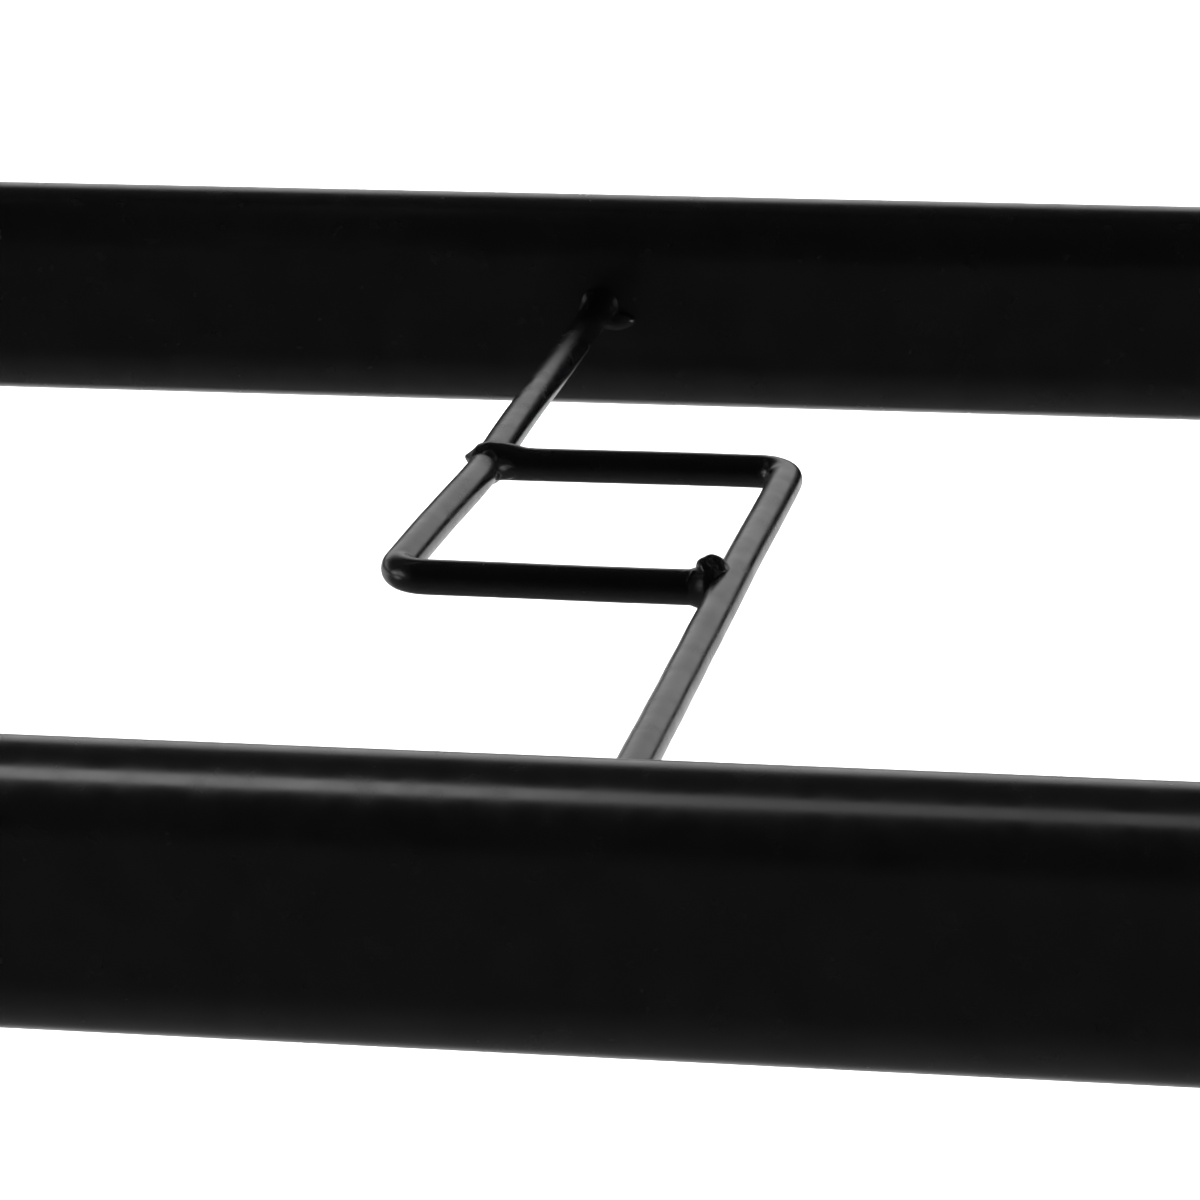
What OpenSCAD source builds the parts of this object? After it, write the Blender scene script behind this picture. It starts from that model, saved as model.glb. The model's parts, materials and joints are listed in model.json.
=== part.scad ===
// Folding luggage rack: two crossed leg frames of flat-oval steel tube that turn on two bolts,
// four webbing straps between the top rails, and a panel of bent wires under the front rail.
// Millimetres, +Z up, X along the rails, front towards -Y, origin on the floor under the centre.

/* [Tube] */
// Wide side of the flat-oval tube
tube_w = 30; // [28:1:32]
// Narrow side of the flat-oval tube, also the diameter of its round edges
tube_t = 15; // [14:0.5:16]
// Wall of the tube
tube_wall = 1.5; // [1:0.1:2]

/* [Frames] */
// Length of the two top rails
rail_length = 600; // [590:5:640]
// Distance from the centre to the middle of an outer leg
outer_leg_x = 272; // [270:1:280]
// Angle between each leg and the floor when the rack is open
leg_angle = 47; // [45:1:50]
// Distance from the pivot to the middle of a top rail, along the leg
top_reach = 345; // [340:1:360]
// Distance from the pivot to the middle of a bottom stretcher, along the leg
stretcher_reach = 285; // [280:1:290]
// Distance from the pivot to the floor, along the leg
foot_reach = 345; // [343:1:355]
// Distance from the pivot to the cut end of a leg, inside its foot
leg_end_reach = 326; // [322:1:327]

/* [Wire panel] */
// Clear gap between the front top rail and the second rail
panel_gap = 219; // [200:1:222]
// Diameter of the bent wire
wire_d = 4; // [3:0.5:5]
// Radius of the wire's bend, at the middle of the wire
bend_r = 4; // [3.5:0.5:6]
// Width of the wire rectangle, between the middles of its wires
ornament_w = 38.5; // [32:0.5:46]
// Height of the wire rectangle, between the middles of its wires
ornament_h = 51; // [40:0.5:60]
// Distance from the middle of the tube to the middle of the wires, towards the panel's upper side
wire_offset = 3; // [0:0.5:3]
// Lean of the wires from the second rail up to the top rail, as they are welded
wire_lean = 1.3; // [0:0.1:1.3]
// Distance between two ornaments
ornament_pitch = 162; // [161:1:163]

/* [Straps] */
// Width of the webbing
strap_w = 50; // [40:1:50]
// Thickness of the webbing
strap_t = 1.6; // [1.2:0.1:2]
// Distance from the centre to the middle of an inner strap
inner_strap_x = 112; // [110:1:113]
// Distance from the centre to the middle of an outer strap
outer_strap_x = 212; // [211:1:214]
// Length of the sewn tail under each end of a strap
strap_tail = 45; // [35:1:60]

/* [Feet and caps] */
// Wall of a foot round the leg
foot_wall = 2; // [1.5:0.25:2.5]
// Length of a foot's sleeve above the cut end of the leg
foot_sleeve = 26; // [20:1:27]
// Thickness of the flange of an end cap
cap_flange = 2.5; // [2:0.5:4]
// Depth of an end cap's plug inside the rail
cap_plug = 14; // [8:1:18]

/* [Pivot] */
// Diameter of the pivot bolt
bolt_d = 8; // [7:0.5:8]
// Thickness of the spacer washer between the legs
spacer_t = 2; // [1.5:0.5:3]
// Outer diameter of the sleeve and the bush in the legs
bush_d = 11; // [10:0.5:12]

/* [Hidden] */
$fn = 48;
clear = 0.3;
running = 0.05;
weld = 2;
wire_weld = 1.5;
skin = 0.05;
end_gap = 0.05;
slide_fit = 0.1;
over = 1;
pivot_z = foot_reach * sin(leg_angle);
inner_leg_x = outer_leg_x - tube_t - spacer_t - clear;
second_reach = top_reach - tube_t - panel_gap;
panel_middle = top_reach - (tube_t + panel_gap) / 2;
tip_gap = 2;
bolt_r = bolt_d / 2;
head_r = 7;
head_h = 4;
head_dome_r = 9;
socket_d = 5.8;
socket_depth = 2.5;
washer_r = 8;
washer_t = 1.6;
spacer_r = 10;
rim_h = 3;
rim_t = 0.8;
nut_flats = 13;
nut_h = 6.5;
nut_dome_r = 5.5;
nut_dome_drop = 1;
nut_bore_end = 0.5;
nut_x = inner_leg_x - tube_t / 2 - clear - washer_t;
strap_gap = 0.35;
round_y = top_reach * cos(leg_angle) - (tube_w - tube_t) / 2 * sin(leg_angle);
round_z = pivot_z + top_reach * sin(leg_angle) + (tube_w - tube_t) / 2 * cos(leg_angle);
strap_top = round_z + tube_t / 2 + strap_gap + strap_t;
tail_start = 5.2;
sides = [-1, 1];
ornaments = [-1, 0, 1];

steel = "#141416";
webbing = "#1b1c1f";
plastic = "#0e0e10";
zinc = "#b4b6ba";
nylon = "#e6e4dc";

// Frames: local Z runs up the leg from the pivot, local Y is square to the frame.
module inner_frame() {
    translate([0, 0, pivot_z]) rotate([90 - leg_angle, 0, 0]) children();
}

module outer_frame() {
    translate([0, 0, pivot_z]) rotate([leg_angle - 90, 0, 0]) children();
}

// Flat-oval outline, w along Y and t along X
module flat_oval(w, t) {
    square([t, w - t], center = true);
    for (side = sides) translate([0, side * (w - t) / 2]) circle(d = t);
}

module oval_bar(w, t, length) {
    linear_extrude(length) flat_oval(w, t);
}

module tube(length) {
    difference() {
        oval_bar(tube_w, tube_t, length);
        translate([0, 0, -over])
            oval_bar(tube_w - 2 * tube_wall, tube_t - 2 * tube_wall, length + 2 * over);
    }
}

// Turns a bar that runs up the leg into one that runs along X at this reach, middle at X = 0
module along_x(reach, length) {
    translate([-length / 2, 0, reach]) rotate([0, 90, 0]) children();
}

// Outer form of one leg and of one cross rail, filled, grown by an allowance
module leg_form(x, grow = 0) {
    translate([x, 0, -leg_end_reach])
        oval_bar(tube_w + 2 * grow, tube_t + 2 * grow, leg_end_reach + top_reach);
}

module rail_form(reach, length, grow = 0) {
    along_x(reach, length) oval_bar(tube_w + 2 * grow, tube_t + 2 * grow, length);
}

// A leg, drilled for its sleeve or bush and coped to the rail on its top
module leg(x) {
    color(steel) difference() {
        translate([x, 0, -leg_end_reach]) tube(leg_end_reach + top_reach - tip_gap);
        rail_form(top_reach, rail_length);
        translate([x - tube_t, 0, 0]) rotate([0, 90, 0])
            cylinder(d = bush_d + 2 * running, h = 2 * tube_t);
    }
}

module top_rail() {
    color(steel) along_x(top_reach, rail_length) tube(rail_length);
}

// A rail between two legs, coped to both
module cross_rail(reach, leg_x) {
    length = 2 * (leg_x - tip_gap);
    color(steel) difference() {
        along_x(reach, length) tube(length);
        for (side = sides) leg_form(side * leg_x);
    }
}

// The fillet of weld that runs round the joint of a leg and a rail
module joint_weld(leg_x, reach, length) {
    difference() {
        intersection() {
            leg_form(leg_x, weld);
            rail_form(reach, length, weld);
        }
        leg_form(leg_x);
        rail_form(reach, length);
    }
}

module frame_welds(leg_x, cross_reaches) {
    color(steel) for (side = sides) mirror([side < 0 ? 1 : 0, 0, 0]) {
        joint_weld(leg_x, top_reach, rail_length);
        for (reach = cross_reaches) joint_weld(leg_x, reach, 2 * leg_x);
    }
}

// One bent wire: it leaves the top rail's lower face, bends and ends against its twin
module bent_wire() {
    rail_face = panel_gap / 2 - end_gap;
    bar_level = -ornament_h / 2;
    half_w = ornament_w / 2;
    color(steel) difference() {
        union() {
            translate([half_w, 0, bar_level + bend_r])
                cylinder(d = wire_d, h = rail_face - bar_level - bend_r);
            translate([half_w - bend_r, 0, bar_level + bend_r]) rotate([90, 0, 0])
                rotate([0, 0, 270]) rotate_extrude(angle = 90) translate([bend_r, 0]) circle(d = wire_d);
            translate([-half_w, 0, bar_level]) rotate([0, 90, 0])
                cylinder(d = wire_d, h = ornament_w - bend_r);
        }
        translate([-half_w, 0, -rail_face]) cylinder(d = wire_d, h = panel_gap);
    }
}

// The middle of one ornament; a turn of 180 puts a wire's twin in its place
module at_ornament(index, turn) {
    inner_frame() translate([index * ornament_pitch, wire_offset, panel_middle])
        rotate([-wire_lean, 0, 0]) rotate([0, turn, 0]) children();
}

// A wire of one ornament; the one from the second rail is the same wire turned half round
module ornament_wire(index, from_top) {
    at_ornament(index, from_top ? 0 : 180) bent_wire();
}

module wire_end_welds() {
    end_offset = tan(wire_lean) * panel_gap / 2;
    color(steel) inner_frame() for (index = ornaments, end = sides)
        translate([index * ornament_pitch, wire_offset + end * end_offset, panel_middle])
            rotate([0, end < 0 ? 180 : 0, 0])
                translate([ornament_w / 2, 0, panel_gap / 2 - wire_weld]) difference() {
                    cylinder(r = wire_d / 2 + wire_weld, h = wire_weld);
                    translate([0, 0, -over])
                        cylinder(r = wire_d / 2 + 2 * end_gap, h = wire_weld + 2 * over);
                }
}

// A bead in the inner corner at each bar's end
module wire_corner_welds() {
    color(steel) for (index = ornaments, turn = [0, 180]) at_ornament(index, turn) difference() {
        translate([weld - ornament_w / 2, 0, weld - ornament_h / 2]) sphere(d = wire_d);
        translate([-ornament_w / 2, 0, -panel_gap / 2]) cylinder(d = wire_d, h = panel_gap);
        translate([-ornament_w / 2, 0, -ornament_h / 2]) rotate([0, 90, 0])
            cylinder(d = wire_d, h = ornament_w);
    }
}

// A plug with a flange that closes a rail's end
module end_cap(side) {
    plug_w = tube_w - 2 * tube_wall - 2 * slide_fit;
    color(plastic) mirror([side < 0 ? 1 : 0, 0, 0])
        translate([rail_length / 2, 0, top_reach]) rotate([0, 90, 0]) {
            oval_bar(tube_w, tube_t, cap_flange);
            translate([0, 0, -cap_plug])
                oval_bar(plug_w, plug_w - tube_w + tube_t, cap_plug);
        }
}

// A boot over a leg's end, with a rim at its mouth
module boot(x) {
    boot_h = foot_reach + tube_w - leg_end_reach + foot_sleeve;
    rim_grow = 2 * (foot_wall + rim_t);
    difference() {
        translate([x, 0, -foot_reach - tube_w]) {
            oval_bar(tube_w + 2 * foot_wall, tube_t + 2 * foot_wall, boot_h);
            translate([0, 0, boot_h - rim_h]) oval_bar(tube_w + rim_grow, tube_t + rim_grow, rim_h);
        }
        translate([x, 0, -leg_end_reach])
            oval_bar(tube_w + 2 * slide_fit, tube_t + 2 * slide_fit, 2 * foot_sleeve);
    }
}

// The part of a boot above the floor
module above_floor() {
    color(plastic) intersection() {
        children();
        translate([-rail_length, -rail_length, 0]) cube([2 * rail_length, 2 * rail_length, pivot_z]);
    }
}

module inner_foot(side) {
    above_floor() inner_frame() boot(side * inner_leg_x);
}

module outer_foot(side) {
    above_floor() outer_frame() boot(side * outer_leg_x);
}

// Pivot hardware: local Z points outwards along X, at this distance from the centre
module at_pivot(side, x) {
    mirror([side < 0 ? 1 : 0, 0, 0]) translate([x, 0, pivot_z]) rotate([0, 90, 0]) children();
}

module pivot_bolt(side) {
    outer_face = outer_leg_x + tube_t / 2;
    shank = outer_face - nut_x + nut_h;
    color(zinc) at_pivot(side, outer_face) {
        translate([0, 0, -shank]) cylinder(r = bolt_r, h = shank);
        difference() {
            intersection() {
                cylinder(r = head_r, h = head_h);
                translate([0, 0, head_h - head_dome_r]) sphere(r = head_dome_r);
            }
            translate([0, 0, head_h - socket_depth])
                cylinder(d = socket_d, h = socket_depth + over, $fn = 6);
        }
    }
}

module cap_nut(side) {
    color(zinc) at_pivot(side, nut_x) difference() {
        union() {
            translate([0, 0, -nut_h]) cylinder(d = nut_flats / cos(30), h = nut_h, $fn = 6);
            translate([0, 0, -nut_h - nut_dome_drop]) sphere(r = nut_dome_r);
        }
        translate([0, 0, -nut_h - nut_bore_end])
            cylinder(r = bolt_r + running, h = nut_h + nut_bore_end + over);
    }
}

module flat_washer(side) {
    color(zinc) at_pivot(side, nut_x) difference() {
        cylinder(r = washer_r, h = washer_t);
        translate([0, 0, -over]) cylinder(r = bolt_r + running, h = washer_t + 2 * over);
    }
}

module spacer_washer(side) {
    color(nylon) at_pivot(side, outer_leg_x - tube_t / 2 - spacer_t) difference() {
        cylinder(r = spacer_r, h = spacer_t);
        translate([0, 0, -over]) cylinder(r = bolt_r + running, h = spacer_t + 2 * over);
    }
}

// A sleeve as long as the tube is thick, round the bolt
module sleeve(side, leg_x) {
    at_pivot(side, leg_x - tube_t / 2) difference() {
        cylinder(d = bush_d, h = tube_t);
        translate([0, 0, -over]) cylinder(r = bolt_r + running, h = tube_t + 2 * over);
    }
}

// Webbing seen from its edge, Y along X and Z along Y: a span, a loop round each rail and a
// sewn tail under each end of the span
module strap_outline() {
    loop_grow = 2 * (strap_gap + strap_t);
    translate([-round_y, strap_top - strap_t + skin]) square([2 * round_y, strap_t - 2 * skin]);
    for (side = sides) mirror([side < 0 ? 1 : 0, 0]) {
        translate([round_y - tail_start - strap_tail, strap_top - 2 * strap_t])
            square([strap_tail, strap_t + 2 * skin]);
        translate([top_reach * cos(leg_angle), pivot_z + top_reach * sin(leg_angle)])
            rotate(leg_angle) difference() {
                flat_oval(tube_w + loop_grow, tube_t + loop_grow);
                flat_oval(tube_w + 2 * strap_gap, tube_t + 2 * strap_gap);
            }
    }
}

module strap(x) {
    color(webbing) translate([x - strap_w / 2, 0, 0]) rotate([90, 0, 90])
        linear_extrude(strap_w) strap_outline();
}

inner_frame() leg(-inner_leg_x);  // inner_leg_left
inner_frame() leg(inner_leg_x);  // inner_leg_right
inner_frame() top_rail();  // front_top_rail
inner_frame() cross_rail(second_reach, inner_leg_x);  // second_rail
inner_frame() cross_rail(-stretcher_reach, inner_leg_x);  // inner_stretcher
outer_frame() leg(-outer_leg_x);  // outer_leg_left
outer_frame() leg(outer_leg_x);  // outer_leg_right
outer_frame() top_rail();  // rear_top_rail
outer_frame() cross_rail(-stretcher_reach, outer_leg_x);  // outer_stretcher
ornament_wire(-1, true);  // top_wire_left
ornament_wire(0, true);  // top_wire_middle
ornament_wire(1, true);  // top_wire_right
ornament_wire(-1, false);  // second_wire_left
ornament_wire(0, false);  // second_wire_middle
ornament_wire(1, false);  // second_wire_right
inner_frame() frame_welds(inner_leg_x, [second_reach, -stretcher_reach]);  // inner_frame_welds
outer_frame() frame_welds(outer_leg_x, [-stretcher_reach]);  // outer_frame_welds
wire_end_welds();
wire_corner_welds();
inner_frame() end_cap(-1);  // front_cap_left
inner_frame() end_cap(1);  // front_cap_right
outer_frame() end_cap(-1);  // rear_cap_left
outer_frame() end_cap(1);  // rear_cap_right
inner_foot(-1);  // inner_foot_left
inner_foot(1);  // inner_foot_right
outer_foot(-1);  // outer_foot_left
outer_foot(1);  // outer_foot_right
pivot_bolt(-1);  // pivot_bolt_left
pivot_bolt(1);  // pivot_bolt_right
cap_nut(-1);  // cap_nut_left
cap_nut(1);  // cap_nut_right
flat_washer(-1);  // flat_washer_left
flat_washer(1);  // flat_washer_right
spacer_washer(-1);  // spacer_washer_left
spacer_washer(1);  // spacer_washer_right
color(zinc) sleeve(-1, outer_leg_x);  // outer_sleeve_left
color(zinc) sleeve(1, outer_leg_x);  // outer_sleeve_right
color(nylon) sleeve(-1, inner_leg_x);  // inner_bush_left
color(nylon) sleeve(1, inner_leg_x);  // inner_bush_right
strap(-outer_strap_x);  // strap_1
strap(-inner_strap_x);  // strap_2
strap(inner_strap_x);  // strap_3
strap(outer_strap_x);  // strap_4
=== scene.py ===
import json
import math

import bmesh
import bpy
from mathutils import Matrix, Vector, noise

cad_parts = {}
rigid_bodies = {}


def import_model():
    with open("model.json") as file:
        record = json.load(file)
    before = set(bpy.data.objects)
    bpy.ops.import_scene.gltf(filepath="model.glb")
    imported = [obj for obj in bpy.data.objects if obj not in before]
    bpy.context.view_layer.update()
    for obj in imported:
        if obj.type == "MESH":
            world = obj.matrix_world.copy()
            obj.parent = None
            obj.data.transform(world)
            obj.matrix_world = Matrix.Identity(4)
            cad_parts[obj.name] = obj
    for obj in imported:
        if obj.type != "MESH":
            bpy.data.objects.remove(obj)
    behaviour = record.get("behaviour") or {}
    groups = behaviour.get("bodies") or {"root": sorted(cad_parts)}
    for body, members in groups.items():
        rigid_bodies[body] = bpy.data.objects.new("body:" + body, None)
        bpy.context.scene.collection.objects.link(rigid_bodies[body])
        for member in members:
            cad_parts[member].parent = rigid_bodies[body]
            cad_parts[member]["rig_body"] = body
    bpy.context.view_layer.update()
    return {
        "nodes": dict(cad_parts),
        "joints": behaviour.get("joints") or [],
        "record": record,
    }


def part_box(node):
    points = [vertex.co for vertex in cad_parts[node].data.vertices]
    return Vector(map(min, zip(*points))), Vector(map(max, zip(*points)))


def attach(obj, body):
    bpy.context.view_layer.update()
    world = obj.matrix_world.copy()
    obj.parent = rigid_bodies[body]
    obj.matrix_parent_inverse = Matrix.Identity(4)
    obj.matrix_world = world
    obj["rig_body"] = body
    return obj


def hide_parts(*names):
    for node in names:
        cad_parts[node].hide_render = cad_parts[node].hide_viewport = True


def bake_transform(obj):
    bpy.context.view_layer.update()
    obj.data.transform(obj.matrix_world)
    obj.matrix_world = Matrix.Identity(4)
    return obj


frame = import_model()
nodes = frame["nodes"]
slot_of = {part["node"]: part["material_slot"] for part in frame["record"]["subparts"]}

MM = 0.001
SIDES = {"left": -1, "right": 1}

# --- Driving dimensions of the CAD model ---
LEG_ANGLE = math.radians(47)
PIVOT = Vector(frame["joints"][0]["pos_m"])
TUBE_W, TUBE_T, TUBE_WALL = 30 * MM, 15 * MM, 1.5 * MM
COAT = 0.08 * MM  # paint, which the CAD model leaves out
TOP_REACH = 345 * MM
STRETCHER_REACH = 285 * MM
LEG_END_REACH = 326 * MM
PANEL_GAP = 219 * MM
SECOND_REACH = TOP_REACH - TUBE_T - PANEL_GAP
PANEL_MIDDLE = TOP_REACH - (TUBE_T + PANEL_GAP) / 2
RAIL_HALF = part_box("front_top_rail")[1][0]


def middle_x(node):
    low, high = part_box(node)
    return (low[0] + high[0]) / 2


# --- The two leg frames: x along the rails, across square to the frame, up the leg from the pivot ---
ALONG = Vector((1, 0, 0))


def leg_axes(front):
    """The direction square to the frame, on its upper side, and the direction up its legs."""
    lean = -1 if front else 1
    square = Vector((0, -lean * math.sin(LEG_ANGLE), math.cos(LEG_ANGLE)))
    return square, Vector((0, lean * math.cos(LEG_ANGLE), math.sin(LEG_ANGLE)))


def in_frame(front, x, across, up):
    square, up_leg = leg_axes(front)
    return PIVOT + x * ALONG + across * square + up * up_leg


OFF_PANEL, UP_PANEL = leg_axes(True)
DOWN_PANEL = -UP_PANEL


def on_panel(along, down, off):
    """A point given from the middle of the front top rail: along it, down the wire panel and off it."""
    return in_frame(True, along, off, TOP_REACH - down)


# --- Camera ---
CAMERA_AT = (0.1014, -0.4481, 0.1779)
CAMERA_YAW = -0.17806
CAMERA_PITCH = 0.31112
CAMERA_ROLL = -0.02018
SENSOR = 36.0
LENS = 150.7


def make_camera():
    forward = (math.sin(CAMERA_YAW) * math.cos(CAMERA_PITCH) * ALONG
               + math.cos(CAMERA_YAW) * math.cos(CAMERA_PITCH) * DOWN_PANEL
               - math.sin(CAMERA_PITCH) * OFF_PANEL)
    level = math.cos(CAMERA_YAW) * ALONG - math.sin(CAMERA_YAW) * DOWN_PANEL
    above = level.cross(forward)
    right = math.cos(CAMERA_ROLL) * level + math.sin(CAMERA_ROLL) * above
    up = right.cross(forward)
    data = bpy.data.cameras.new("camera")
    data.sensor_width = SENSOR
    data.lens = LENS
    data.clip_start = 0.02
    camera = bpy.data.objects.new("camera", data)
    turn = Matrix((right, up, -forward)).transposed()
    camera.matrix_world = Matrix.Translation(on_panel(*CAMERA_AT)) @ turn.to_4x4()
    bpy.context.scene.collection.objects.link(camera)
    bpy.context.scene.camera = camera


make_camera()


# --- Materials ---
def new_material(name, roughness, metallic=0.0):
    """A material with its own shader, and the links and nodes to build on."""
    material = bpy.data.materials.new(name)
    material.use_nodes = True
    tree = material.node_tree
    shader = tree.nodes["Principled BSDF"]
    shader.inputs["Roughness"].default_value = roughness
    shader.inputs["Metallic"].default_value = metallic
    return material, tree, shader


def noise_node(tree, scale, detail=3.0, vector=None):
    """Noise through the object's own space; scale is in lumps to the metre."""
    node = tree.nodes.new("ShaderNodeTexNoise")
    node.inputs["Scale"].default_value = scale
    node.inputs["Detail"].default_value = detail
    if vector is None:
        vector = tree.nodes.new("ShaderNodeTexCoord").outputs["Object"]
    tree.links.new(vector, node.inputs["Vector"])
    return node.outputs["Fac"]


def ramp(tree, source, stops):
    """Colours at places from 0 to 1, read by the source."""
    node = tree.nodes.new("ShaderNodeValToRGB")
    tree.links.new(source, node.inputs["Fac"])
    elements = node.color_ramp.elements
    while len(elements) < len(stops):
        elements.new(0.5)
    for element, (place, colour) in zip(elements, stops):
        element.position = place
        element.color = (*colour, 1)
    return node.outputs["Color"]


def spread(tree, source, low, high):
    """The middle half of a noise, spread from low to high."""
    node = tree.nodes.new("ShaderNodeMapRange")
    node.inputs["From Min"].default_value = 0.3
    node.inputs["From Max"].default_value = 0.7
    node.inputs["To Min"].default_value = low
    node.inputs["To Max"].default_value = high
    tree.links.new(source, node.inputs["Value"])
    return node.outputs["Result"]


def bump(tree, shader, layers):
    """Layers of (height, distance in metres), the coarse one first."""
    normal = None
    for height, distance in layers:
        node = tree.nodes.new("ShaderNodeBump")
        node.inputs["Distance"].default_value = distance
        tree.links.new(height, node.inputs["Height"])
        if normal:
            tree.links.new(normal, node.inputs["Normal"])
        normal = node.outputs["Normal"]
    tree.links.new(normal, shader.inputs["Normal"])


def maths(tree, operation, first, second=0.0):
    node = tree.nodes.new("ShaderNodeMath")
    node.operation = operation
    for socket, value in zip(node.inputs, (first, second)):
        if isinstance(value, (int, float)):
            socket.default_value = value
        else:
            tree.links.new(value, socket)
    return node.outputs["Value"]


def mottle(tree, shader, scale, detail, dark, pale, places=(0.3, 0.7)):
    """A base colour that wanders from dark to pale with a noise of this scale."""
    stops = list(zip(places, (dark, pale)))
    tree.links.new(ramp(tree, noise_node(tree, scale, detail), stops), shader.inputs["Base Color"])


def uneven_gloss(tree, shader, scale, detail, low, high):
    """A roughness that wanders from low to high with a noise of this scale."""
    tree.links.new(spread(tree, noise_node(tree, scale, detail), low, high), shader.inputs["Roughness"])


def powder_coat():
    """Black powder coat: a faint orange peel, a finer grain, and patches of more and less gloss."""
    material, tree, shader = new_material("powder_coat", 0.22)
    mottle(tree, shader, 160, 4, (0.0044, 0.0039, 0.0047), (0.0064, 0.0057, 0.0067), places=(0.35, 0.65))
    uneven_gloss(tree, shader, 300, 2, 0.2, 0.28)
    bump(tree, shader, [(noise_node(tree, 260, 2), 0.00001), (noise_node(tree, 900, 1), 0.0000015)])
    return material


RIB_PITCH = 1.25 * MM
YARN_PITCH = 1.9 * MM
RIB_STAGGER = 0.66  # of half a yarn, from each rib to the next
YARN_SLANT = 0.5  # of half a yarn, across a rib


def webbing_cloth():
    """Woven webbing: ribs along the strap, each with its own run of small slanting yarns, its colour darker
    in the hollows of the weave and paler on the yarn tops as painted shade.
    """
    material, tree, shader = new_material("webbing", 0.82)
    shader.inputs["Sheen Weight"].default_value = 0.25
    shader.inputs["Sheen Roughness"].default_value = 0.5
    place = tree.nodes.new("ShaderNodeAttribute")
    place.attribute_name = "weave"
    split = tree.nodes.new("ShaderNodeSeparateXYZ")
    tree.links.new(place.outputs["Vector"], split.inputs["Vector"])
    across = maths(tree, "MULTIPLY", split.outputs["X"], 1 / RIB_PITCH)
    along = maths(tree, "MULTIPLY", split.outputs["Y"], math.tau / YARN_PITCH)
    rib = maths(tree, "ABSOLUTE", maths(tree, "SINE", maths(tree, "MULTIPLY", across, math.pi)))
    stagger = maths(tree, "MULTIPLY", maths(tree, "FLOOR", across), math.pi * RIB_STAGGER)
    slant = maths(tree, "MULTIPLY", maths(tree, "FRACT", across), math.pi * YARN_SLANT)
    yarn = maths(tree, "SINE", maths(tree, "ADD", maths(tree, "ADD", along, stagger), slant))
    yarn = maths(tree, "MULTIPLY", maths(tree, "ADD", yarn, 2.0), 0.33)
    height = maths(tree, "MULTIPLY", maths(tree, "POWER", rib, 0.6), yarn)
    fuzz = maths(tree, "MULTIPLY", noise_node(tree, 2600, 3), 0.5)
    # painted shade: the colour follows the weave's height, darker in its hollows and paler on the yarn tops,
    # with a random fuzz
    painted_weave_shade = maths(tree, "MULTIPLY", height, maths(tree, "ADD", fuzz, 0.75))
    tree.links.new(ramp(tree, painted_weave_shade, [(0.0, (0.004, 0.004, 0.0045)), (0.5, (0.013, 0.013, 0.014)),
                                      (1.0, (0.03, 0.03, 0.032))]), shader.inputs["Base Color"])
    uneven_gloss(tree, shader, 90, 2, 0.75, 0.9)
    bump(tree, shader, [(height, 0.00028), (fuzz, 0.00005)])
    return material


def thread():
    """Bonded sewing thread, a little glossier than the webbing."""
    material, tree, shader = new_material("thread", 0.5)
    mottle(tree, shader, 900, 2, (0.012, 0.012, 0.013), (0.028, 0.028, 0.03))
    bump(tree, shader, [(noise_node(tree, 5000, 2), 0.00008)])
    return material


def moulded_plastic():
    """Black moulded plastic with a fine spark-eroded grain, scuffed a little."""
    material, tree, shader = new_material("black_plastic", 0.5)
    mottle(tree, shader, 120, 3, (0.008, 0.008, 0.0085), (0.014, 0.014, 0.0145))
    uneven_gloss(tree, shader, 300, 4, 0.4, 0.56)
    bump(tree, shader, [(noise_node(tree, 2200, 2), 0.00005)])
    return material


def zinc_plate():
    """Bright zinc plate, cloudy, with fine turning and handling marks."""
    material, tree, shader = new_material("zinc", 0.3, 1.0)
    mottle(tree, shader, 260, 3, (0.48, 0.49, 0.51), (0.66, 0.67, 0.69))
    uneven_gloss(tree, shader, 1100, 4, 0.2, 0.42)
    bump(tree, shader, [(noise_node(tree, 900, 4), 0.00002)])
    return material


def natural_nylon():
    """Off-white nylon, slightly waxy."""
    material, tree, shader = new_material("nylon", 0.4)
    shader.inputs["Subsurface Weight"].default_value = 0.2
    shader.inputs["Subsurface Radius"].default_value = (0.002, 0.0016, 0.001)
    mottle(tree, shader, 350, 2, (0.72, 0.70, 0.63), (0.80, 0.78, 0.72))
    uneven_gloss(tree, shader, 700, 3, 0.34, 0.48)
    bump(tree, shader, [(noise_node(tree, 1800, 2), 0.00003)])
    return material


finish_of = {
    "black_powder_coat": powder_coat(),
    "webbing": webbing_cloth(),
    "black_plastic": moulded_plastic(),
    "zinc_steel": zinc_plate(),
    "nylon": natural_nylon(),
}
for node, obj in nodes.items():
    for material_slot in obj.material_slots:
        material_slot.material = finish_of[slot_of[node]]


# --- Mesh tools ---
def join(shells):
    points, faces = [], []
    for shell_points, shell_faces in shells:
        start = len(points)
        points += shell_points
        faces += [tuple(start + i for i in face) for face in shell_faces]
    return points, faces


def loft(rings, loop=False):
    """A skin over rings of equal count, closed by its end rings or, as a loop, by its first ring."""
    count = len(rings[0])
    points = [point for ring in rings for point in ring]
    faces = []
    for step in range(len(rings) if loop else len(rings) - 1):
        low, high = step * count, (step + 1) % len(rings) * count
        for i in range(count):
            j = (i + 1) % count
            faces.append((low + i, low + j, high + j, high + i))
    if not loop:
        faces += [tuple(range(count)), tuple(range(len(points) - count, len(points)))]
    return points, faces


def resample(path, step, closed=False):
    """The path again, with points about this far apart."""
    ends = path + [path[0]] if closed else path
    lengths = [0.0]
    for a, b in zip(ends, ends[1:]):
        lengths.append(lengths[-1] + (b - a).length)
    count = max(2, round(lengths[-1] / step))
    result, leg = [], 0
    for i in range(count if closed else count + 1):
        at = lengths[-1] * i / count
        while leg < len(ends) - 2 and lengths[leg + 1] < at:
            leg += 1
        share = (at - lengths[leg]) / max(lengths[leg + 1] - lengths[leg], 1e-12)
        result.append(ends[leg].lerp(ends[leg + 1], min(1.0, share)))
    return result


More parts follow.
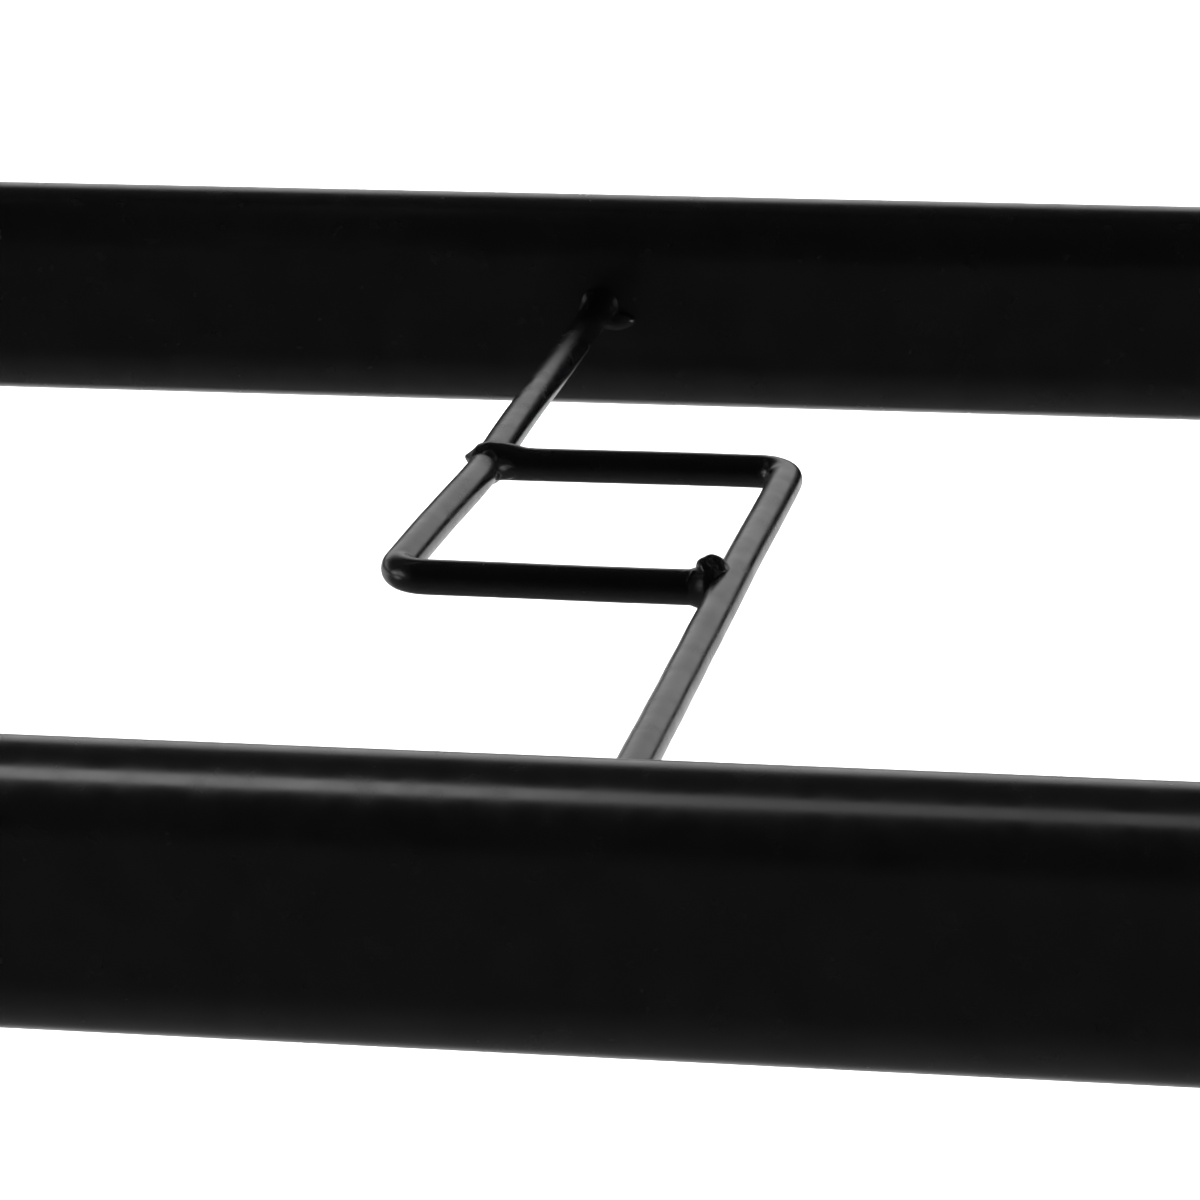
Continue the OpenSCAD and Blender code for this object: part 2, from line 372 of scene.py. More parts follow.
def sweep(path, radius, reference, sides=28, closed=False, rough=0.0, lumps=900.0, seed=0.0):
    """A round bar along a path. radius(share) is read along it, and rough is the height of its lumps."""
    rings = []
    last = len(path) - 1
    for i, point in enumerate(path):
        before = path[i - 1] if i or closed else point
        after = path[(i + 1) % len(path)] if i < last or closed else point
        tangent = (after - before).normalized()
        normal = (reference - tangent * reference.dot(tangent)).normalized()
        beside = tangent.cross(normal)
        thick = radius(i / max(last, 1))
        ring = []
        for k in range(sides):
            angle = math.tau * k / sides
            out = math.cos(angle) * normal + math.sin(angle) * beside
            where = point + thick * out
            lump = rough * noise.noise(where * lumps + Vector((seed, 0, 0))) if rough else 0.0
            ring.append(where + lump * out)
        rings.append(ring)
    return loft(rings, loop=closed)


def lump(centre, radius, rough, seed, stretch, lumps, level=4):
    """A rough ball, stretched along the rails, off the panel and up it."""
    axes = (ALONG, OFF_PANEL, UP_PANEL)
    ball = bmesh.new()
    bmesh.ops.create_icosphere(ball, subdivisions=level, radius=1.0)
    points = []
    for vertex in ball.verts:
        out = sum((axes[k] * vertex.co[k] * stretch[k] for k in range(3)), Vector())
        swell = 1 + rough * noise.noise(out * radius * lumps + Vector((0, seed, 0)))
        points.append(centre + out * radius * swell)
    faces = [tuple(v.index for v in face.verts) for face in ball.faces]
    ball.free()
    return points, faces


def new_mesh(name, shell):
    """A mesh from points and faces, with its normals outwards."""
    mesh = bpy.data.meshes.new(name)
    mesh.from_pydata(shell[0], [], shell[1])
    tidy = bmesh.new()
    tidy.from_mesh(mesh)
    bmesh.ops.recalc_face_normals(tidy, faces=tidy.faces)
    tidy.to_mesh(mesh)
    tidy.free()
    return mesh


def smooth(mesh, sharp):
    """Smooth shading, but for edges sharper than this many degrees."""
    mesh.shade_smooth()
    mesh.set_sharp_from_angle(angle=math.radians(sharp))


SHARP = 40
WELD_SHARP = 70
MOULDED_SHARP = 50
TURNED_SHARP = 32
CLOTH_SHARP = 60


def add_piece(name, shell, material, body, replaced=(), sharp=SHARP):
    """A piece that rides on a body, if it is given one, and stands for the nodes in replaced."""
    mesh = new_mesh(name, shell)
    smooth(mesh, sharp)
    mesh.materials.append(material)
    piece = bpy.data.objects.new(name, mesh)
    bpy.context.scene.collection.objects.link(piece)
    if body:
        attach(piece, body)
    if replaced:
        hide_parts(*replaced)
    return piece


def stand_for(node, shell, sharp=SHARP):
    """A finer piece in a CAD node's place, with its body and finish."""
    finish, body = finish_of[slot_of[node]], nodes[node]["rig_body"]
    return add_piece(node + "_fine", shell, finish, body, (node,), sharp=sharp)


# --- Flat-oval tubes ---
ARC_STEPS = 28
EDGE_SUPPORT = 0.2 * MM


def oval(width, thick):
    """Flat-oval outline as (x, y), long along y, with a supporting point beside each end of its arcs."""
    radius, half = thick / 2, (width - thick) / 2
    outline = []
    for side in (1, -1):
        outline.append((side * radius, side * (half - EDGE_SUPPORT)))
        for step in range(ARC_STEPS + 1):
            angle = math.pi * step / ARC_STEPS
            outline.append((side * radius * math.cos(angle), side * (half + radius * math.sin(angle))))
        outline.append((-side * radius, side * (half - EDGE_SUPPORT)))
    return outline


def grown_oval(grow):
    """The tube's outline grown by this much all round."""
    return oval(TUBE_W + 2 * grow, TUBE_T + 2 * grow)


def half_thickness(across):
    """Half the thickness of the tube at this distance from its middle, across its wide side."""
    past = max(0.0, abs(across) - (TUBE_W - TUBE_T) / 2)
    return math.sqrt(max(0.0, (TUBE_T / 2) ** 2 - past ** 2))


def tube(put, low, high):
    """A walled tube. put(x, y, s) places a point of its section; low(y) and high(y) are where it is cut."""
    outside, inside = grown_oval(COAT), grown_oval(-TUBE_WALL)
    rings = [[put(x, y, cut(y)) for x, y in outline]
             for outline, cut in ((outside, low), (outside, high), (inside, high), (inside, low))]
    return loft(rings, loop=True)


HOLE_R = 5.55 * MM
DRILL_SIDES = 64


def drill(piece, at, radius):
    """A round hole along x through the piece."""
    angles = [math.tau * k / DRILL_SIDES for k in range(DRILL_SIDES)]
    rings = [[at + Vector((depth, radius * math.cos(a), radius * math.sin(a))) for a in angles]
             for depth in (-TUBE_T, TUBE_T)]
    cutter = bpy.data.objects.new("drill", new_mesh("drill", loft(rings)))
    bpy.context.scene.collection.objects.link(cutter)
    modifier = piece.modifiers.new("hole", "BOOLEAN")
    modifier.operation = "DIFFERENCE"
    modifier.solver = "EXACT"
    modifier.object = cutter
    bpy.context.view_layer.update()
    cut = bpy.data.meshes.new_from_object(piece.evaluated_get(bpy.context.evaluated_depsgraph_get()))
    piece.modifiers.clear()
    piece.data = cut
    smooth(cut, SHARP)
    bpy.data.objects.remove(cutter)


def make_tubes():
    """Top rails cut square, cross rails coped to the legs, and legs coped to the top rails and drilled."""
    for node, front in (("front_top_rail", True), ("rear_top_rail", False)):
        stand_for(node, tube(lambda x, y, s, f=front: in_frame(f, s, y, TOP_REACH + x),
                             lambda y: -RAIL_HALF, lambda y: RAIL_HALF))
    cross_rails = (("second_rail", True, SECOND_REACH), ("inner_stretcher", True, -STRETCHER_REACH),
                   ("outer_stretcher", False, -STRETCHER_REACH))
    for node, front, reach in cross_rails:
        leg_x = middle_x(("inner" if front else "outer") + "_leg_right")
        stand_for(node, tube(lambda x, y, s, f=front, r=reach: in_frame(f, s, y, r + x),
                             lambda y, e=leg_x: half_thickness(y) - e,
                             lambda y, e=leg_x: e - half_thickness(y)))
    for frame_name, front in (("inner", True), ("outer", False)):
        for side in SIDES:
            node = f"{frame_name}_leg_{side}"
            leg_x = middle_x(node)
            piece = stand_for(node, tube(lambda x, y, s, f=front, e=leg_x: in_frame(f, e + x, y, s),
                                         lambda y: -LEG_END_REACH, lambda y: TOP_REACH - half_thickness(y)))
            drill(piece, in_frame(front, leg_x, 0, 0), HOLE_R)


# --- Welds between tubes ---
WELD_R = 1.9 * MM
WELD_SINK = 0.5 * MM
RIPPLE = 2.4 * MM
WELD_STEP = 0.5 * MM
WELD_ROUGH = 0.25 * MM


def weld_bead(path, reference, seed):
    """A rippled bead along a closed path, thinner where the tubes run into one another."""
    path = resample(path, WELD_STEP, closed=True)
    ripples = round(len(path) * WELD_STEP / RIPPLE)

    def radius(share):
        ripple = abs(math.sin(math.pi * ripples * share))
        swell = noise.noise(Vector((share * 14, seed, 0)))
        return WELD_R * (0.86 + 0.12 * ripple + 0.16 * swell)

    return sweep(path, radius, reference, sides=20, closed=True, rough=WELD_ROUGH, lumps=700, seed=seed)


def make_frame_welds():
    """Beads round the tops of the legs and the ends of the cross rails."""
    for node, front, reaches in (("inner_frame_welds", True, (SECOND_REACH, -STRETCHER_REACH)),
                                 ("outer_frame_welds", False, (-STRETCHER_REACH,))):
        up_leg = leg_axes(front)[1]
        beads = []
        for side, sign in SIDES.items():
            leg_x = middle_x(("inner_leg_" if front else "outer_leg_") + side)
            outline = grown_oval(-WELD_SINK)
            top = [in_frame(front, leg_x + x, y, TOP_REACH - half_thickness(y)) for x, y in outline]
            beads.append(weld_bead(top, up_leg, seed=10 * sign + front))
            for reach in reaches:
                around = [in_frame(front, leg_x - sign * half_thickness(y), y, reach + x) for x, y in outline]
                beads.append(weld_bead(around, ALONG, seed=20 * sign + 100 * reach))
        stand_for(node, join(beads), sharp=WELD_SHARP)


# --- Wire panel ---
WIRE_R = 2 * MM + COAT
BEND_R = 4 * MM
ORNAMENT_W = 38.5 * MM
ORNAMENT_H = 51 * MM
ORNAMENT_PITCH = 162 * MM
WIRE_OFFSET = 3 * MM
WIRE_LEAN = math.radians(1.3)
WAVE = 0.22 * MM
KINK = 0.45 * MM
SPLAY = 1.35 * MM
ORNAMENTS = {"left": -1, "middle": 0, "right": 1}
BEND_STEPS, ROD_STEPS, BAR_STEPS = 12, 44, 14


def on_ornament(index, turn, u, v, w=0.0):
    """A point of an ornament: u across it, v up the panel from its middle, w off the panel. turn is 1 for
    the wire from the front rail and -1 for its twin from the second rail, turned half round."""
    v = turn * v
    return in_frame(True, index * ORNAMENT_PITCH + turn * u,
                    WIRE_OFFSET + v * math.sin(WIRE_LEAN) + w * math.cos(WIRE_LEAN),
                    PANEL_MIDDLE + v * math.cos(WIRE_LEAN) - w * math.sin(WIRE_LEAN))


def weld_kink(v):
    """How far aside the other bar's weld pulls the second rail's wire, and how it splays past that weld."""
    weld_v = ORNAMENT_H / 2
    if v > weld_v:
        return -KINK * (PANEL_GAP / 2 - v) / (PANEL_GAP / 2 - weld_v)
    return -KINK + SPLAY * (weld_v - v) / ORNAMENT_H


def bent_wire(index, turn):
    """The wire from its rail, past the ornament's near corner, round the bend and along the bar."""
    half_w, bar = ORNAMENT_W / 2, -ORNAMENT_H / 2
    seed = 7.3 * index + 3.1 * turn
    route = [(half_w, PANEL_GAP / 2 + 0.3 * MM)]
    for step in range(1, ROD_STEPS + 1):
        share = step / ROD_STEPS
        route.append((half_w, PANEL_GAP / 2 + (bar + BEND_R - PANEL_GAP / 2) * share))
    for step in range(1, BEND_STEPS + 1):
        angle = math.radians(90 * step / BEND_STEPS)
        route.append((half_w - BEND_R + BEND_R * math.cos(angle), bar + BEND_R - BEND_R * math.sin(angle)))
    for step in range(1, BAR_STEPS + 1):
        share = step / BAR_STEPS
        route.append((half_w - BEND_R + (2 * WIRE_R * 0.6 - ORNAMENT_W + BEND_R) * share, bar))
    path, run = [], 0.0
    for i, (u, v) in enumerate(route):
        if i:
            run += math.dist(route[i - 1], (u, v))
        sway = Vector((run * 28, seed, 0))
        kink = weld_kink(v) * (0.5 + u / ORNAMENT_W) if turn < 0 else 0.0
        path.append(on_ornament(index, turn, u + kink + WAVE * noise.noise(sway),
                                v + WAVE * noise.noise(sway + Vector((0, 0, 9))),
                                WAVE * noise.noise(sway + Vector((0, 0, 5)))))

    def radius(share):
        return WIRE_R * (1 + 0.02 * noise.noise(Vector((share * 30, seed, 2))))

    return sweep(path, radius, OFF_PANEL, sides=32)


def between(values, share):
    """A value at this share of the way through a short list."""
    place = share * (len(values) - 1)
    low = min(int(place), len(values) - 2)
    return values[low] + (values[low + 1] - values[low]) * (place - low)


def by_corner(index, turn, a, b, c):
    """A point by the corner where a bar meets the other wire, in mm: in along the bar, along the wire, up."""
    return on_ornament(index, turn, a * MM - ORNAMENT_W / 2, b * MM - ORNAMENT_H / 2, c * MM)


def bead(path, thick, step, **rough):
    """A bead along a path, its radius in mm read from a list along it."""
    return sweep(resample(path, step), lambda share: between(thick, share) * MM, OFF_PANEL, **rough)


# The drawn-out end of a bar: mm inwards along the bar, along the wire and up, then its radius
DRAWN_END = ((7, 0, 0, 2.0), (5, 0, 0.1, 2.05), (3.4, 0.1, 0.35, 2.15), (2, 0.3, 0.6, 2.25),
             (0.6, 0.5, 0.7, 2.3), (-0.9, 0.5, 0.65, 1.75), (-2.3, 0.1, 0.8, 0.25))
# The fillet inside the same corner, in mm: how far in its arc's middle is, and the arc's radius
FILLET_MIDDLE = 4.8
FILLET_R = 4.0
FILLET_STEPS = 12
FILLET_FROM, FILLET_TURN = 175, 100  # degrees
# The collar of the other corner: mm inwards along the bar, and its radius
COLLAR = ((5.5, 2.0), (4.2, 2.1), (3.2, 2.5), (2.2, 2.95), (1.2, 3.1), (0.4, 2.4))
# The fillet round a wire's end: mm into the rail from its face, and its radius
END_FILLET = ((0.2, 3.1), (0, 2.9), (-0.4, 2.6), (-0.9, 2.35), (-1.4, 2.2), (-2.0, 2.1), (-2.8, 2.0))
BEAD_STEP = 0.25 * MM
END_STEP = 0.15 * MM


def lapped_corner(index, turn):
    """A bar's end drawn out over the other wire to a point, with a fillet and a crumb of spatter inside."""
    seed = 4.0 + index
    tip = [by_corner(index, turn, *place) for *place, _ in DRAWN_END]
    drawn = bead(tip, [thick for *_, thick in DRAWN_END], BEAD_STEP, rough=0.1 * MM, lumps=450, seed=seed)
    arc = []
    for step in range(FILLET_STEPS + 1):
        angle = math.radians(FILLET_FROM + FILLET_TURN * step / FILLET_STEPS)
        arc.append(by_corner(index, turn, FILLET_MIDDLE + FILLET_R * math.cos(angle),
                             FILLET_MIDDLE + FILLET_R * math.sin(angle), -0.1))
    fillet = sweep(arc, lambda share: (1.25 + 0.35 * math.sin(math.pi * share)) * MM, OFF_PANEL,
                   rough=0.15 * MM, lumps=500, seed=seed + 2)
    apron = lump(by_corner(index, turn, 1.2, 1.0, 0.1), 2.3 * MM, 0.1, seed + 5, (0.75, 1.05, 1.5), 320)
    crumb = lump(by_corner(index, turn, 2.0, 4.3, -0.4), 0.75 * MM, 0.7, seed + 3, (1, 1, 1), 1500)
    return [drawn, fillet, apron, crumb]


def balled_corner(index, turn):
    """A collar where a bar meets the other wire, and a creased ball of weld metal on top of it."""
    seed = 8.0 + index
    path = [by_corner(index, turn, inwards, 0, 0) for inwards, _ in COLLAR]
    collar = bead(path, [thick for _, thick in COLLAR], BEAD_STEP, rough=0.2 * MM, lumps=420, seed=seed)
    ball = lump(by_corner(index, turn, 1.9, 0.2, 1.6), 2.0 * MM, 0.3, seed + 1, (1.05, 1, 1), 620, level=5)
    fold = lump(by_corner(index, turn, 3.7, -0.5, 0.9), 1.3 * MM, 0.45, seed + 2, (1, 1, 1), 900)
    return [collar, ball, fold]


def rail_end_weld(index, turn):
    """A fillet of weld round a wire where it meets its rail, with a heavier lump on one side."""
    u, face = ORNAMENT_W / 2, PANEL_GAP / 2
    seed = 12.0 + index + 3 * turn
    path = [on_ornament(index, turn, u, face + height * MM) for height, _ in END_FILLET]
    fillet = bead(path, [thick for _, thick in END_FILLET], END_STEP, rough=0.3 * MM, lumps=380, seed=seed)
    heavy_at = on_ornament(index, turn, u - 2.4 * MM, face, -1.7 * MM)
    heavy = lump(heavy_at, 1.7 * MM, 0.25, seed + 1, (1.6, 0.8, 0.9), 380)
    return [fillet, heavy]


def make_wire_panel():
    """Three ornaments, each of two bent wires, with the welds of their ends and corners."""
    end_beads, corner_beads = [], []
    for name, index in ORNAMENTS.items():
        stand_for(f"top_wire_{name}", bent_wire(index, 1))
        stand_for(f"second_wire_{name}", bent_wire(index, -1))
        for turn in (1, -1):
            end_beads += rail_end_weld(index, turn)
        corner_beads += lapped_corner(index, 1) + balled_corner(index, -1)
    stand_for("wire_end_welds", join(end_beads), sharp=WELD_SHARP)
    stand_for("wire_corner_welds", join(corner_beads), sharp=WELD_SHARP)


# --- Caps and feet, from profiles of (how far outside the tube's outline, how far along it) ---
CAP_PLUG = 14 * MM
CAP_FLANGE = 2.5 * MM
SLIDE_FIT = 0.1 * MM


def make_caps():
    """A plug in the rail's end under a softly domed flange."""
    fit = -TUBE_WALL - SLIDE_FIT
    profile = [(fit - 0.4 * MM, -CAP_PLUG), (fit, 0.8 * MM - CAP_PLUG), (fit, 0),
               (-0.35 * MM, 0), (-0.35 * MM, 0.25 * MM), (0, 0.45 * MM), (0, CAP_FLANGE - 0.9 * MM),
               (-0.1 * MM, CAP_FLANGE - 0.5 * MM), (-0.35 * MM, CAP_FLANGE - 0.2 * MM),
               (-0.8 * MM, CAP_FLANGE), (-2 * MM, CAP_FLANGE + 0.15 * MM), (-4 * MM, CAP_FLANGE + 0.3 * MM),
               (-6.8 * MM, CAP_FLANGE + 0.35 * MM)]
    for frame_name, front in (("front", True), ("rear", False)):
        for side, sign in SIDES.items():
            rings = []
            for grow, height in profile:
                end = sign * (RAIL_HALF + height)
                rings.append([in_frame(front, end, y, TOP_REACH + x) for x, y in grown_oval(grow)])
            stand_for(f"{frame_name}_cap_{side}", loft(rings), sharp=MOULDED_SHARP)


FOOT_WALL = 2 * MM
FOOT_SLEEVE = 26 * MM
FOOT_RIM = 0.8 * MM
FOOT_RIBS = (8 * MM, 13 * MM, 18 * MM)
RIB_PROFILE = ((0, -0.9 * MM), (0.35 * MM, -0.5 * MM), (0.5 * MM, 0), (0.35 * MM, 0.5 * MM), (0, 0.9 * MM))


def make_feet():
    """A boot with a rolled rim, three gripping ribs and a flat sole on the floor."""
    mouth = FOOT_SLEEVE - LEG_END_REACH
    rim = FOOT_WALL + FOOT_RIM
    profile = [(SLIDE_FIT, FOOT_SLEEVE), (SLIDE_FIT, 0.5 * MM), (0.5 * MM, 0.05 * MM), (rim - 0.7 * MM, 0),
               (rim - 0.2 * MM, 0.2 * MM), (rim, 0.7 * MM), (rim, 2.3 * MM), (rim - 0.25 * MM, 2.9 * MM),
               (FOOT_WALL + 0.05 * MM, 3.3 * MM), (FOOT_WALL, 3.8 * MM)]
    for rib in FOOT_RIBS:
        profile += [(FOOT_WALL + proud, rib + down) for proud, down in RIB_PROFILE]
    sole = [(FOOT_WALL, 4 * MM), (FOOT_WALL, 1.2 * MM), (FOOT_WALL - 0.25 * MM, 0.4 * MM),
            (FOOT_WALL - 0.8 * MM, 0), (-4 * MM, 0)]
    for frame_name, front in (("inner", True), ("outer", False)):
        for side in SIDES:
            leg_x = middle_x(f"{frame_name}_leg_{side}")
            rings = [[in_frame(front, leg_x + x, y, mouth - down) for x, y in grown_oval(grow)]
                     for grow, down in profile]
            for grow, height in sole:
                ring = []
                for x, y in grown_oval(grow):
                    up = (height - PIVOT.z - y * math.cos(LEG_ANGLE)) / math.sin(LEG_ANGLE)
                    ring.append(in_frame(front, leg_x + x, y, up))
                rings.append(ring)
            stand_for(f"{frame_name}_foot_{side}", loft(rings), sharp=MOULDED_SHARP)


# --- Pivot hardware ---
ROUND_STEPS = 72
BOLT_R = 4 * MM
RUNNING = 0.05 * MM
SPACER_R, SPACER_T = 10 * MM, 2 * MM
WASHER_R, WASHER_T = 8 * MM, 1.6 * MM
WASHER_EDGE = 0.2 * MM
HEAD_R, HEAD_H, HEAD_DOME_R = 7 * MM, 4 * MM, 9 * MM
HEAD_STEPS = 10
SOCKET, SOCKET_DEPTH = 5.8 * MM, 2.5 * MM
NUT_FLATS, NUT_H = 13 * MM, 6.5 * MM
NUT_DOME_R, NUT_DOME_DROP = 5.5 * MM, 1 * MM
NUT_STEPS = 12


def circle(radius):
    return [(radius * math.cos(math.tau * k / ROUND_STEPS), radius * math.sin(math.tau * k / ROUND_STEPS))
            for k in range(ROUND_STEPS)]


def hexagon(flats, corner_r=1.0):
    """A hexagon across its flats, with its corners turned down to corner_r metres from the middle."""
    outline = []
    for k in range(ROUND_STEPS):
        angle = math.tau * k / ROUND_STEPS
        off_flat = (angle + math.pi / 6) % (math.pi / 3) - math.pi / 6
        radius = min(flats / 2 / math.cos(off_flat), corner_r)
        outline.append((radius * math.cos(angle), radius * math.sin(angle)))
    return outline


def turned(node, sign, at, rings, loop=False):
    """A piece turned on the pivot's axis; rings are (outline, distance outwards from x = at)."""
    axis = Vector((0, 0, PIVOT.z))
    placed = [[Vector((sign * (at + out), y, z)) + axis for y, z in outline] for outline, out in rings]
    return stand_for(node, loft(placed, loop), sharp=TURNED_SHARP)


def washer_rings(radius, thick):
    edge, hole = WASHER_EDGE, BOLT_R + RUNNING
    return [(circle(hole + edge), 0), (circle(radius - edge), 0),
            (circle(radius), edge), (circle(radius), thick - edge),
            (circle(radius - edge), thick), (circle(hole + edge), thick),
            (circle(hole), thick - edge), (circle(hole), edge)]


def bolt_rings(shank):
    """A bolt with a domed head and a hexagon socket, from its far end."""
    rings = [(circle(BOLT_R - 0.5 * MM), -shank), (circle(BOLT_R), 0.5 * MM - shank), (circle(BOLT_R), 0),
             (circle(HEAD_R - 0.2 * MM), 0), (circle(HEAD_R), 0.2 * MM), (circle(HEAD_R), 0.6 * MM)]
    for step in range(1, HEAD_STEPS + 1):
        radius = HEAD_R - 0.3 * MM - (HEAD_R - 3.9 * MM) * step / HEAD_STEPS
        rings.append((circle(radius), HEAD_H - HEAD_DOME_R + math.sqrt(HEAD_DOME_R ** 2 - radius ** 2)))
    rim = rings[-1][1]
    rings += [(hexagon(SOCKET, 3.2 * MM), rim - 0.15 * MM), (hexagon(SOCKET - 0.2 * MM), rim - 0.5 * MM),
              (hexagon(SOCKET - 0.2 * MM), HEAD_H - SOCKET_DEPTH),
              (circle(0.4 * MM), HEAD_H - SOCKET_DEPTH - 0.7 * MM)]
    return rings


def nut_rings():
    """A cap nut from the blind end of its bore, round its hexagon to the top of its dome."""
    corner = NUT_FLATS / math.sqrt(3)
    chamfered = NUT_FLATS / 2 + 0.1 * MM
    rings = [(circle(BOLT_R + RUNNING), 0.3 * MM - NUT_H), (circle(BOLT_R + RUNNING), 0),
             (circle(NUT_FLATS / 2 - 0.3 * MM), 0), (hexagon(NUT_FLATS, chamfered), -0.15 * MM),
             (hexagon(NUT_FLATS, corner - 0.25 * MM), -0.7 * MM),
             (hexagon(NUT_FLATS, corner - 0.25 * MM), 0.7 * MM - NUT_H),
             (hexagon(NUT_FLATS, chamfered), 0.1 * MM - NUT_H), (circle(NUT_FLATS / 2 - 0.4 * MM), -NUT_H),
             (circle(NUT_DOME_R), -NUT_H), (circle(NUT_DOME_R), -NUT_H - NUT_DOME_DROP)]
    for step in range(1, NUT_STEPS + 1):
        angle = math.radians(88 * step / NUT_STEPS)
        rings.append((circle(NUT_DOME_R * math.cos(angle)),
                      -NUT_H - NUT_DOME_DROP - NUT_DOME_R * math.sin(angle)))
    return rings


def make_hardware():
    """The bolt, cap nut and two washers of each pivot."""
    outer_x = middle_x("outer_leg_right")
    nut_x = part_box("flat_washer_right")[0][0]
    bolt = bolt_rings(outer_x + TUBE_T / 2 - nut_x + NUT_H)
    nut = nut_rings()
    washer = washer_rings(WASHER_R, WASHER_T)
    spacer = washer_rings(SPACER_R, SPACER_T)
    for side, sign in SIDES.items():
        turned(f"pivot_bolt_{side}", sign, outer_x + TUBE_T / 2, bolt)
        turned(f"cap_nut_{side}", sign, nut_x, nut)
        turned(f"flat_washer_{side}", sign, nut_x, washer, loop=True)
        turned(f"spacer_washer_{side}", sign, outer_x - TUBE_T / 2 - SPACER_T, spacer, loop=True)


# --- Webbing straps ---
STRAP_T = 1.6 * MM
STRAP_GAP = 0.35 * MM
STRAP_SAG = 2 * MM
STRAP_TAIL = 45 * MM
TAIL_START = 5.2 * MM
TAIL_BEND_R = 10 * MM
STRAP_STEP = 2 * MM
RAIL_Y, RAIL_Z = TOP_REACH * math.cos(LEG_ANGLE), PIVOT.z + TOP_REACH * math.sin(LEG_ANGLE)
STRAP_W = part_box("strap_1")[1][0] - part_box("strap_1")[0][0]


def strap_half():
    """One end of a strap, seen from its edge as (y, z): from the tail under the span, down under the rear
    rail, round it and up to the span, all along the middle of the cloth."""
    reach = (TUBE_W - TUBE_T) / 2
    high = Vector((RAIL_Y - reach * math.sin(LEG_ANGLE), RAIL_Z + reach * math.cos(LEG_ANGLE)))
    low = Vector((RAIL_Y + reach * math.sin(LEG_ANGLE), RAIL_Z - reach * math.cos(LEG_ANGLE)))
    radius = TUBE_T / 2 + STRAP_GAP + STRAP_T / 2
    rise = (high - low).normalized()
    tail_z = high.y + radius - STRAP_T - 0.1 * MM
    under = high - radius * Vector((math.cos(LEG_ANGLE), math.sin(LEG_ANGLE)))
    knee = under + rise * (tail_z - under.y) / rise.y
    turn = math.pi / 2 - LEG_ANGLE
    trim = TAIL_BEND_R * math.tan(turn / 2)
    centre = Vector((knee.x - trim, tail_z - TAIL_BEND_R))
    path = [Vector((high.x - TAIL_START - STRAP_TAIL, tail_z)), Vector((knee.x - trim, tail_z))]
    path += [centre + TAIL_BEND_R * Vector((math.sin(a), math.cos(a)))
             for a in (turn * k / 8 for k in range(1, 9))]
    path += [low + radius * Vector((math.cos(a), math.sin(a)))
             for a in (LEG_ANGLE - math.pi + math.pi * k / 24 for k in range(25))]
    path += [high + radius * Vector((math.cos(a), math.sin(a)))
             for a in (LEG_ANGLE + (math.pi / 2 - LEG_ANGLE) * k / 8 for k in range(9))]
    return path


def strap_route():
    """The whole strap from its front tail to its rear tail, with the little sag of a taut span."""
    rear = strap_half()
    front = [Vector((-p.x, p.y)) for p in rear]
    top = rear[-1].x
    route = resample(front + rear[::-1], STRAP_STEP)
    return [Vector((p.x, p.y - STRAP_SAG * max(0.0, 1 - (p.x / top) ** 2))) for p in route]


def strap_section():
    """Pairs of distance across and height round the webbing's section, its selvedges rounded and fuller."""
    half, thick = STRAP_W / 2, STRAP_T / 2
    side = [(half - 3.2 * MM, 0.94), (half - 2.2 * MM, 1.0), (half - 1.0 * MM, 1.0), (half - 0.35 * MM, 0.8),
            (half, 0.3)]
    flat = [(half * k / 6, 0.94) for k in range(-4, 5)]
    top = [(-x, h) for x, h in side[::-1]] + flat + side
    return [(x, thick * h) for x, h in top] + [(x, -thick * h) for x, h in top[::-1]]


STITCH, STITCH_GAP, THREAD_R = 2.6 * MM, 0.9 * MM, 0.32 * MM
STITCH_STEPS = 6
BOX_IN = 4 * MM
BOX_NEAR, BOX_FAR = 3 * MM, 26 * MM


def stitch(a, b, out):
    """One stitch: a short arched length of thread that dips into the cloth at both ends."""
    path = []
    for step in range(STITCH_STEPS + 1):
        share = step / STITCH_STEPS
        path.append(a.lerp(b, share) + out * THREAD_R * (1.5 * math.sin(math.pi * share) - 1.0))
    return sweep(path, lambda share: THREAD_R, out.cross(b - a).normalized(), sides=8)


def box_stitch(x, y_low, y_high, height_at, out):
    """A sewn box with its two diagonals, on one face of the cloth."""
    half = STRAP_W / 2 - BOX_IN
    corners = [(x - half, y_low), (x + half, y_low), (x + half, y_high), (x - half, y_high)]
    runs = [(corners[i], corners[(i + 1) % 4]) for i in range(4)]
    runs += [(corners[0], corners[2]), (corners[1], corners[3])]
    stitches = []
    for (ax, ay), (bx, by) in runs:
        length = math.hypot(bx - ax, by - ay)
        count = round(length / (STITCH + STITCH_GAP))
        for k in range(count):
            first, last = k / count, (k + STITCH / (STITCH + STITCH_GAP)) / count
            ends = []
            for share in (first, last):
                px, py = ax + (bx - ax) * share, ay + (by - ay) * share
                ends.append(Vector((px, py, height_at(py))))
            stitches.append(stitch(ends[0], ends[1], out))
    return stitches


